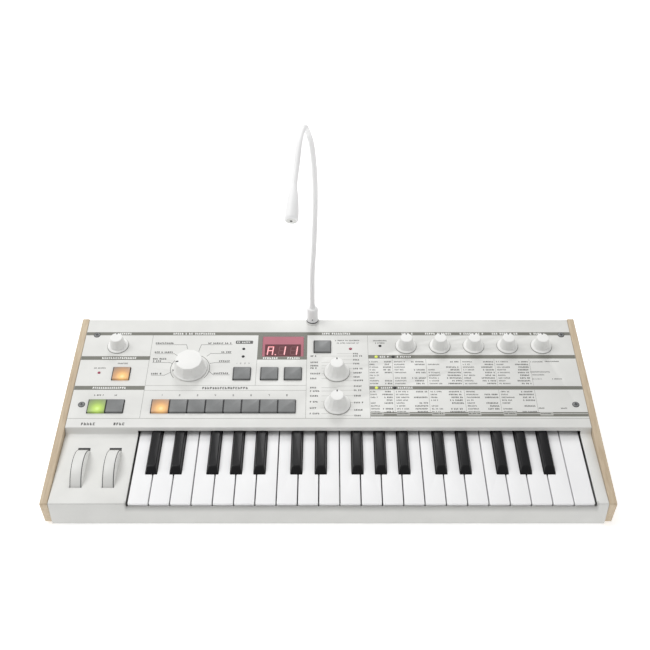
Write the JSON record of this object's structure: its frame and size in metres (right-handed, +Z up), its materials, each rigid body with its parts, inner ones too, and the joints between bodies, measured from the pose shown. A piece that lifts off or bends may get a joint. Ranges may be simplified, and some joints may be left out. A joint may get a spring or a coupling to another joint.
{
  "type": "desktop synthesizer",
  "caption": "Slope-fronted desktop synthesizer with short keys, two wheels, a panel of knobs and buttons, a display and a gooseneck microphone.",
  "frame": {"origin": "on the surface the feet stand on, under the middle of the instrument's overall width and depth", "axes": "+X to the player's right, +Y towards the back, +Z up"},
  "size_m": [0.524, 0.2367, 0.3062],
  "materials": {
    "case_plastic": "fine satin, off-white",
    "maple": "satin clear lacquer",
    "zinc_plate": "plated",
    "circuit_board": "solder mask green",
    "white_key_plastic": "gloss",
    "black_key_plastic": "satin",
    "knob_plastic": "satin",
    "grey_button_plastic": "satin, translucent when lit",
    "microphone_finish": "satin sleeve over a steel spring"
  },
  "bodies": {
    "case": {"top_case": "case_plastic", "bottom_case": "case_plastic", "wood_side_left": "maple", "wood_side_right": "maple", "keybed_chassis": "zinc_plate", "panel_board": "circuit_board", "microphone_stem": "microphone_finish"},
    "microphone_head": {"microphone_head": "microphone_finish"},
    "pitch_wheel": {"pitch_wheel": "case_plastic"},
    "mod_wheel": {"mod_wheel": "case_plastic"},
    "program_dial": {"program_dial": "knob_plastic"},
    "volume_knob": {"volume_knob": "knob_plastic"},
    "edit_select_knob_1": {"edit_select_knob_1": "knob_plastic"},
    "edit_select_knob_2": {"edit_select_knob_2": "knob_plastic"},
    "control_knob_1": {"control_knob_1": "knob_plastic"},
    "control_knob_2": {"control_knob_2": "knob_plastic"},
    "control_knob_3": {"control_knob_3": "knob_plastic"},
    "control_knob_4": {"control_knob_4": "knob_plastic"},
    "control_knob_5": {"control_knob_5": "knob_plastic"},
    "arpeggiator_button": {"arpeggiator_button": "grey_button_plastic"},
    "octave_buttons": {"octave_buttons": "grey_button_plastic"},
    "program_buttons": {"program_buttons": "grey_button_plastic"},
    "function_buttons": {"function_buttons": "grey_button_plastic"},
    "white_key_c3": {"white_key_c3": "white_key_plastic"},
    "black_key_c_sharp3": {"black_key_c_sharp3": "black_key_plastic"},
    "white_key_d3": {"white_key_d3": "white_key_plastic"},
    "black_key_d_sharp3": {"black_key_d_sharp3": "black_key_plastic"},
    "white_key_e3": {"white_key_e3": "white_key_plastic"},
    "white_key_f3": {"white_key_f3": "white_key_plastic"},
    "black_key_f_sharp3": {"black_key_f_sharp3": "black_key_plastic"},
    "white_key_g3": {"white_key_g3": "white_key_plastic"},
    "black_key_g_sharp3": {"black_key_g_sharp3": "black_key_plastic"},
    "white_key_a3": {"white_key_a3": "white_key_plastic"},
    "black_key_a_sharp3": {"black_key_a_sharp3": "black_key_plastic"},
    "white_key_b3": {"white_key_b3": "white_key_plastic"},
    "white_key_c4": {"white_key_c4": "white_key_plastic"},
    "black_key_c_sharp4": {"black_key_c_sharp4": "black_key_plastic"},
    "white_key_d4": {"white_key_d4": "white_key_plastic"},
    "black_key_d_sharp4": {"black_key_d_sharp4": "black_key_plastic"},
    "white_key_e4": {"white_key_e4": "white_key_plastic"},
    "white_key_f4": {"white_key_f4": "white_key_plastic"},
    "black_key_f_sharp4": {"black_key_f_sharp4": "black_key_plastic"},
    "white_key_g4": {"white_key_g4": "white_key_plastic"},
    "black_key_g_sharp4": {"black_key_g_sharp4": "black_key_plastic"},
    "white_key_a4": {"white_key_a4": "white_key_plastic"},
    "black_key_a_sharp4": {"black_key_a_sharp4": "black_key_plastic"},
    "white_key_b4": {"white_key_b4": "white_key_plastic"},
    "white_key_c5": {"white_key_c5": "white_key_plastic"},
    "black_key_c_sharp5": {"black_key_c_sharp5": "black_key_plastic"},
    "white_key_d5": {"white_key_d5": "white_key_plastic"},
    "black_key_d_sharp5": {"black_key_d_sharp5": "black_key_plastic"},
    "white_key_e5": {"white_key_e5": "white_key_plastic"},
    "white_key_f5": {"white_key_f5": "white_key_plastic"},
    "black_key_f_sharp5": {"black_key_f_sharp5": "black_key_plastic"},
    "white_key_g5": {"white_key_g5": "white_key_plastic"},
    "black_key_g_sharp5": {"black_key_g_sharp5": "black_key_plastic"},
    "white_key_a5": {"white_key_a5": "white_key_plastic"},
    "black_key_a_sharp5": {"black_key_a_sharp5": "black_key_plastic"},
    "white_key_b5": {"white_key_b5": "white_key_plastic"},
    "white_key_c6": {"white_key_c6": "white_key_plastic"}
  },
  "joints": [
    {"name": "gooseneck_bend", "type": "hinge", "parent": "case", "child": "microphone_head", "pos_m": [-0.0132, 0.11, 0.2426], "axis": [1, 0, 0], "range_deg": [-20, 40]},
    {"name": "bend_wheel_turn", "type": "hinge", "parent": "case", "child": "pitch_wheel", "pos_m": [-0.2329, -0.0751, 0.0164], "axis": [1, 0, 0], "range_deg": [-27, 27], "stiffness_Nm_per_rad": 0.06},
    {"name": "modulation_wheel_turn", "type": "hinge", "parent": "case", "child": "mod_wheel", "pos_m": [-0.203, -0.0751, 0.0164], "axis": [1, 0, 0], "range_deg": [-27, 27]},
    {"name": "dial_turn", "type": "hinge", "parent": "case", "child": "program_dial", "pos_m": [-0.141, 0.04331, 0.05263], "axis": [0, -0.1392, 0.9903], "range_deg": [-210, 0]},
    {"name": "volume_turn", "type": "hinge", "parent": "case", "child": "volume_knob", "pos_m": [-0.2189, 0.0744, 0.057], "axis": [0, -0.1392, 0.9903], "range_deg": [-150, 150]},
    {"name": "knob_edit_1_turn", "type": "hinge", "parent": "case", "child": "edit_select_knob_1", "pos_m": [0.0087, 0.03846, 0.05195], "axis": [0, -0.1392, 0.9903], "range_deg": [-150, 150]},
    {"name": "knob_edit_2_turn", "type": "hinge", "parent": "case", "child": "edit_select_knob_2", "pos_m": [0.0087, -0.00323, 0.04609], "axis": [0, -0.1392, 0.9903], "range_deg": [-150, 150]},
    {"name": "knob_control_1_turn", "type": "hinge", "parent": "case", "child": "control_knob_1", "pos_m": [0.0807, 0.07411, 0.05696], "axis": [0, -0.1392, 0.9903], "range_deg": [-150, 150]},
    {"name": "knob_control_2_turn", "type": "hinge", "parent": "case", "child": "control_knob_2", "pos_m": [0.1159, 0.07411, 0.05696], "axis": [0, -0.1392, 0.9903], "range_deg": [-150, 150]},
    {"name": "knob_control_3_turn", "type": "hinge", "parent": "case", "child": "control_knob_3", "pos_m": [0.1511, 0.07411, 0.05696], "axis": [0, -0.1392, 0.9903], "range_deg": [-150, 150]},
    {"name": "knob_control_4_turn", "type": "hinge", "parent": "case", "child": "control_knob_4", "pos_m": [0.1863, 0.07411, 0.05696], "axis": [0, -0.1392, 0.9903], "range_deg": [-150, 150]},
    {"name": "knob_control_5_turn", "type": "hinge", "parent": "case", "child": "control_knob_5", "pos_m": [0.2215, 0.07411, 0.05696], "axis": [0, -0.1392, 0.9903], "range_deg": [-150, 150]},
    {"name": "arpeggiator_press", "type": "slide", "parent": "case", "child": "arpeggiator_button", "axis": [0, 0.1392, -0.9903], "range_m": [0, 0.001], "stiffness_N_per_m": 700},
    {"name": "octave_press", "type": "slide", "parent": "case", "child": "octave_buttons", "axis": [0, 0.1392, -0.9903], "range_m": [0, 0.001], "stiffness_N_per_m": 1000},
    {"name": "program_press", "type": "slide", "parent": "case", "child": "program_buttons", "axis": [0, 0.1392, -0.9903], "range_m": [0, 0.001], "stiffness_N_per_m": 2500},
    {"name": "function_press", "type": "slide", "parent": "case", "child": "function_buttons", "axis": [0, 0.1392, -0.9903], "range_m": [0, 0.001], "stiffness_N_per_m": 2500},
    {"name": "key_c3_press", "type": "hinge", "parent": "case", "child": "white_key_c3", "pos_m": [-0.17737, -0.01985, 0.02863], "axis": [1, 0, 0], "range_deg": [0, 2], "stiffness_Nm_per_rad": 1.6},
    {"name": "key_c_sharp3_press", "type": "hinge", "parent": "case", "child": "black_key_c_sharp3", "pos_m": [-0.16583, -0.01985, 0.02863], "axis": [1, 0, 0], "range_deg": [0, 2], "stiffness_Nm_per_rad": 1.6},
    {"name": "key_d3_press", "type": "hinge", "parent": "case", "child": "white_key_d3", "pos_m": [-0.1543, -0.01985, 0.02863], "axis": [1, 0, 0], "range_deg": [0, 2], "stiffness_Nm_per_rad": 1.6},
    {"name": "key_d_sharp3_press", "type": "hinge", "parent": "case", "child": "black_key_d_sharp3", "pos_m": [-0.14277, -0.01985, 0.02863], "axis": [1, 0, 0], "range_deg": [0, 2], "stiffness_Nm_per_rad": 1.6},
    {"name": "key_e3_press", "type": "hinge", "parent": "case", "child": "white_key_e3", "pos_m": [-0.13123, -0.01985, 0.02863], "axis": [1, 0, 0], "range_deg": [0, 2], "stiffness_Nm_per_rad": 1.6},
    {"name": "key_f3_press", "type": "hinge", "parent": "case", "child": "white_key_f3", "pos_m": [-0.11962, -0.01985, 0.02863], "axis": [1, 0, 0], "range_deg": [0, 2], "stiffness_Nm_per_rad": 1.6},
    {"name": "key_f_sharp3_press", "type": "hinge", "parent": "case", "child": "black_key_f_sharp3", "pos_m": [-0.10855, -0.01985, 0.02863], "axis": [1, 0, 0], "range_deg": [0, 2], "stiffness_Nm_per_rad": 1.6},
    {"name": "key_g3_press", "type": "hinge", "parent": "case", "child": "white_key_g3", "pos_m": [-0.09748, -0.01985, 0.02863], "axis": [1, 0, 0], "range_deg": [0, 2], "stiffness_Nm_per_rad": 1.6},
    {"name": "key_g_sharp3_press", "type": "hinge", "parent": "case", "child": "black_key_g_sharp3", "pos_m": [-0.0864, -0.01985, 0.02863], "axis": [1, 0, 0], "range_deg": [0, 2], "stiffness_Nm_per_rad": 1.6},
    {"name": "key_a3_press", "type": "hinge", "parent": "case", "child": "white_key_a3", "pos_m": [-0.07533, -0.01985, 0.02863], "axis": [1, 0, 0], "range_deg": [0, 2], "stiffness_Nm_per_rad": 1.6},
    {"name": "key_a_sharp3_press", "type": "hinge", "parent": "case", "child": "black_key_a_sharp3", "pos_m": [-0.06425, -0.01985, 0.02863], "axis": [1, 0, 0], "range_deg": [0, 2], "stiffness_Nm_per_rad": 1.6},
    {"name": "key_b3_press", "type": "hinge", "parent": "case", "child": "white_key_b3", "pos_m": [-0.05318, -0.01985, 0.02863], "axis": [1, 0, 0], "range_deg": [0, 2], "stiffness_Nm_per_rad": 1.6},
    {"name": "key_c4_press", "type": "hinge", "parent": "case", "child": "white_key_c4", "pos_m": [-0.04157, -0.01985, 0.02863], "axis": [1, 0, 0], "range_deg": [0, 2], "stiffness_Nm_per_rad": 1.6},
    {"name": "key_c_sharp4_press", "type": "hinge", "parent": "case", "child": "black_key_c_sharp4", "pos_m": [-0.03003, -0.01985, 0.02863], "axis": [1, 0, 0], "range_deg": [0, 2], "stiffness_Nm_per_rad": 1.6},
    {"name": "key_d4_press", "type": "hinge", "parent": "case", "child": "white_key_d4", "pos_m": [-0.0185, -0.01985, 0.02863], "axis": [1, 0, 0], "range_deg": [0, 2], "stiffness_Nm_per_rad": 1.6},
    {"name": "key_d_sharp4_press", "type": "hinge", "parent": "case", "child": "black_key_d_sharp4", "pos_m": [-0.00697, -0.01985, 0.02863], "axis": [1, 0, 0], "range_deg": [0, 2], "stiffness_Nm_per_rad": 1.6},
    {"name": "key_e4_press", "type": "hinge", "parent": "case", "child": "white_key_e4", "pos_m": [0.00457, -0.01985, 0.02863], "axis": [1, 0, 0], "range_deg": [0, 2], "stiffness_Nm_per_rad": 1.6},
    {"name": "key_f4_press", "type": "hinge", "parent": "case", "child": "white_key_f4", "pos_m": [0.01617, -0.01985, 0.02863], "axis": [1, 0, 0], "range_deg": [0, 2], "stiffness_Nm_per_rad": 1.6},
    {"name": "key_f_sharp4_press", "type": "hinge", "parent": "case", "child": "black_key_f_sharp4", "pos_m": [0.02725, -0.01985, 0.02863], "axis": [1, 0, 0], "range_deg": [0, 2], "stiffness_Nm_per_rad": 1.6},
    {"name": "key_g4_press", "type": "hinge", "parent": "case", "child": "white_key_g4", "pos_m": [0.03832, -0.01985, 0.02863], "axis": [1, 0, 0], "range_deg": [0, 2], "stiffness_Nm_per_rad": 1.6},
    {"name": "key_g_sharp4_press", "type": "hinge", "parent": "case", "child": "black_key_g_sharp4", "pos_m": [0.0494, -0.01985, 0.02863], "axis": [1, 0, 0], "range_deg": [0, 2], "stiffness_Nm_per_rad": 1.6},
    {"name": "key_a4_press", "type": "hinge", "parent": "case", "child": "white_key_a4", "pos_m": [0.06048, -0.01985, 0.02863], "axis": [1, 0, 0], "range_deg": [0, 2], "stiffness_Nm_per_rad": 1.6},
    {"name": "key_a_sharp4_press", "type": "hinge", "parent": "case", "child": "black_key_a_sharp4", "pos_m": [0.07155, -0.01985, 0.02863], "axis": [1, 0, 0], "range_deg": [0, 2], "stiffness_Nm_per_rad": 1.6},
    {"name": "key_b4_press", "type": "hinge", "parent": "case", "child": "white_key_b4", "pos_m": [0.08263, -0.01985, 0.02863], "axis": [1, 0, 0], "range_deg": [0, 2], "stiffness_Nm_per_rad": 1.6},
    {"name": "key_c5_press", "type": "hinge", "parent": "case", "child": "white_key_c5", "pos_m": [0.09423, -0.01985, 0.02863], "axis": [1, 0, 0], "range_deg": [0, 2], "stiffness_Nm_per_rad": 1.6},
    {"name": "key_c_sharp5_press", "type": "hinge", "parent": "case", "child": "black_key_c_sharp5", "pos_m": [0.10577, -0.01985, 0.02863], "axis": [1, 0, 0], "range_deg": [0, 2], "stiffness_Nm_per_rad": 1.6},
    {"name": "key_d5_press", "type": "hinge", "parent": "case", "child": "white_key_d5", "pos_m": [0.1173, -0.01985, 0.02863], "axis": [1, 0, 0], "range_deg": [0, 2], "stiffness_Nm_per_rad": 1.6},
    {"name": "key_d_sharp5_press", "type": "hinge", "parent": "case", "child": "black_key_d_sharp5", "pos_m": [0.12883, -0.01985, 0.02863], "axis": [1, 0, 0], "range_deg": [0, 2], "stiffness_Nm_per_rad": 1.6},
    {"name": "key_e5_press", "type": "hinge", "parent": "case", "child": "white_key_e5", "pos_m": [0.14037, -0.01985, 0.02863], "axis": [1, 0, 0], "range_deg": [0, 2], "stiffness_Nm_per_rad": 1.6},
    {"name": "key_f5_press", "type": "hinge", "parent": "case", "child": "white_key_f5", "pos_m": [0.15197, -0.01985, 0.02863], "axis": [1, 0, 0], "range_deg": [0, 2], "stiffness_Nm_per_rad": 1.6},
    {"name": "key_f_sharp5_press", "type": "hinge", "parent": "case", "child": "black_key_f_sharp5", "pos_m": [0.16305, -0.01985, 0.02863], "axis": [1, 0, 0], "range_deg": [0, 2], "stiffness_Nm_per_rad": 1.6},
    {"name": "key_g5_press", "type": "hinge", "parent": "case", "child": "white_key_g5", "pos_m": [0.17413, -0.01985, 0.02863], "axis": [1, 0, 0], "range_deg": [0, 2], "stiffness_Nm_per_rad": 1.6},
    {"name": "key_g_sharp5_press", "type": "hinge", "parent": "case", "child": "black_key_g_sharp5", "pos_m": [0.1852, -0.01985, 0.02863], "axis": [1, 0, 0], "range_deg": [0, 2], "stiffness_Nm_per_rad": 1.6},
    {"name": "key_a5_press", "type": "hinge", "parent": "case", "child": "white_key_a5", "pos_m": [0.19628, -0.01985, 0.02863], "axis": [1, 0, 0], "range_deg": [0, 2], "stiffness_Nm_per_rad": 1.6},
    {"name": "key_a_sharp5_press", "type": "hinge", "parent": "case", "child": "black_key_a_sharp5", "pos_m": [0.20735, -0.01985, 0.02863], "axis": [1, 0, 0], "range_deg": [0, 2], "stiffness_Nm_per_rad": 1.6},
    {"name": "key_b5_press", "type": "hinge", "parent": "case", "child": "white_key_b5", "pos_m": [0.21843, -0.01985, 0.02863], "axis": [1, 0, 0], "range_deg": [0, 2], "stiffness_Nm_per_rad": 1.6},
    {"name": "key_c6_press", "type": "hinge", "parent": "case", "child": "white_key_c6", "pos_m": [0.2337, -0.01985, 0.02863], "axis": [1, 0, 0], "range_deg": [0, 2], "stiffness_Nm_per_rad": 1.6}
  ]
}
